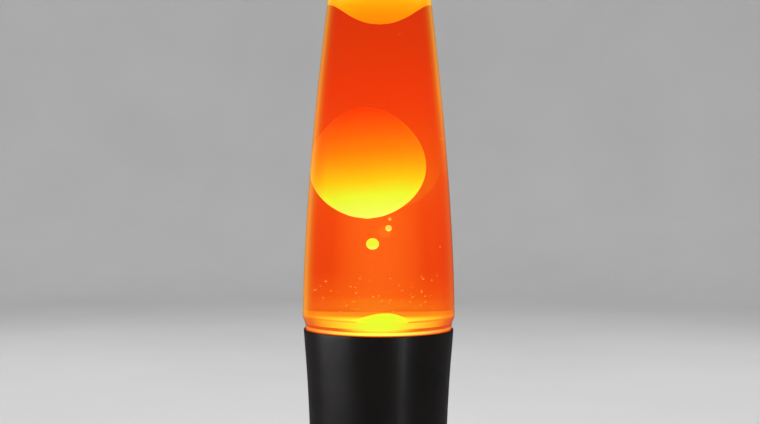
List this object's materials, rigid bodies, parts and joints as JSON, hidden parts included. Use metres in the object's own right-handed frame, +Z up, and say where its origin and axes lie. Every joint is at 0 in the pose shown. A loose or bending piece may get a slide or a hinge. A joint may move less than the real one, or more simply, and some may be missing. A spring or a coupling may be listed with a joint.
{
  "type": "lava lamp",
  "caption": "Tall lava lamp: a tapered glass bottle of orange liquid and glowing wax in a dark spun base with a bulb inside, a cap on top and a cord with a rocker switch.",
  "frame": {"origin": "centre of the foot pad's underside, on the lamp's axis, where it stands on the table", "axes": "+Z up along the lamp's axis; the cord leaves the base towards +Y, so -Y is the front; +X is to the right seen from the front"},
  "size_m": [0.2239, 0.2175, 0.432],
  "materials": {
    "base_finish": "satin black lacquer",
    "cover_finish": "satin dark grey",
    "foot_rubber": "matte",
    "fastener_steel": "zinc plated",
    "porcelain": "glazed",
    "contact_brass": "satin",
    "wire_dark": "satin",
    "wire_pale": "satin",
    "bottle_glass": "clear, polished",
    "liquid": "clear orange liquid, lit from below",
    "wax": "molten wax, lit from below",
    "spring_steel": "drawn wire",
    "crown_tinplate": "lacquered tinplate",
    "liner": "matte",
    "bulb_glass": "clear",
    "bulb_metal": "satin",
    "bulb_black": "glossy",
    "filament": "glowing",
    "flex": "satin",
    "bush_rubber": "matte",
    "switch_plastic": "fine grained",
    "rocker_plastic": "polished",
    "plug_plastic": "satin"
  },
  "bodies": {
    "base": {"base_upper_shell": "base_finish", "base_lower_shell": "base_finish", "bottom_cover": "cover_finish", "foot_pad": "foot_rubber", "threaded_rod": "fastener_steel", "rod_nut_bottom": "fastener_steel", "rod_washer": "fastener_steel", "rod_nut_top": "fastener_steel", "switch_screw_left": "fastener_steel", "switch_screw_right": "fastener_steel", "rocker_pin": "fastener_steel", "lamp_holder_body": "porcelain", "holder_screw_shell": "contact_brass", "holder_centre_contact": "contact_brass", "terminal_screw_live": "contact_brass", "terminal_screw_neutral": "contact_brass", "switch_contact_fixed": "contact_brass", "switch_contact_moving": "contact_brass", "plug_blade_live": "contact_brass", "plug_blade_neutral": "contact_brass", "wire_live": "wire_dark", "wire_neutral": "wire_pale", "cord_lamp_to_switch": "flex", "cord_switch_to_plug": "flex", "cord_bush": "bush_rubber", "switch_bottom_half": "switch_plastic", "switch_top_half": "switch_plastic", "plug_body": "plug_plastic"},
    "bottle": {"glass_bottle": "bottle_glass", "liquid_column": "liquid", "liquid_neck": "liquid", "wax_top_mass": "wax", "wax_pool": "wax", "spring_ring": "spring_steel", "crown_cap": "crown_tinplate", "crown_liner": "liner"},
    "blob": {"wax_blob": "wax"},
    "bead_large": {"wax_bead_large": "wax"},
    "bead_small": {"wax_bead_small": "wax"},
    "bead_tiny": {"wax_bead_tiny": "wax"},
    "cap": {"cap_shell": "base_finish"},
    "bulb": {"bulb_tip_contact": "bulb_metal", "bulb_insulator": "bulb_black", "bulb_screw_cap": "bulb_metal", "bulb_envelope": "bulb_glass", "bulb_stem": "bulb_glass", "bulb_lead_left": "bulb_metal", "bulb_lead_right": "bulb_metal", "bulb_filament": "filament"},
    "rocker": {"switch_rocker": "rocker_plastic"}
  },
  "joints": [
    {"name": "bottle_lift", "type": "slide", "parent": "base", "child": "bottle", "axis": [0, 0, 1], "range_m": [0, 0.1]},
    {"name": "cap_lift", "type": "slide", "parent": "bottle", "child": "cap", "axis": [0, 0, 1], "range_m": [0, 0.06]},
    {"name": "wax_rise", "type": "slide", "parent": "bottle", "child": "blob", "axis": [0, 0, 1], "range_m": [-0.034, 0.04]},
    {"name": "bead_large_rise", "type": "slide", "parent": "bottle", "child": "bead_large", "axis": [0, 0, 1], "range_m": [-0.034, 0.04]},
    {"name": "bead_small_rise", "type": "slide", "parent": "bottle", "child": "bead_small", "axis": [0, 0, 1], "range_m": [-0.034, 0.04]},
    {"name": "bead_tiny_rise", "type": "slide", "parent": "bottle", "child": "bead_tiny", "axis": [0, 0, 1], "range_m": [-0.034, 0.04]},
    {"name": "bulb_unscrew", "type": "slide", "parent": "base", "child": "bulb", "axis": [0, 0, 1], "range_m": [0, 0.008]},
    {"name": "rocker_tip", "type": "hinge", "parent": "base", "child": "rocker", "pos_m": [0.05, 0.128, 0.0118], "axis": [0, 1, 0], "range_deg": [-22, 0]}
  ],
  "couplings": [
    {"joint": "bead_large_rise", "follows": "wax_rise", "ratio": 1},
    {"joint": "bead_small_rise", "follows": "wax_rise", "ratio": 1},
    {"joint": "bead_tiny_rise", "follows": "wax_rise", "ratio": 1}
  ]
}
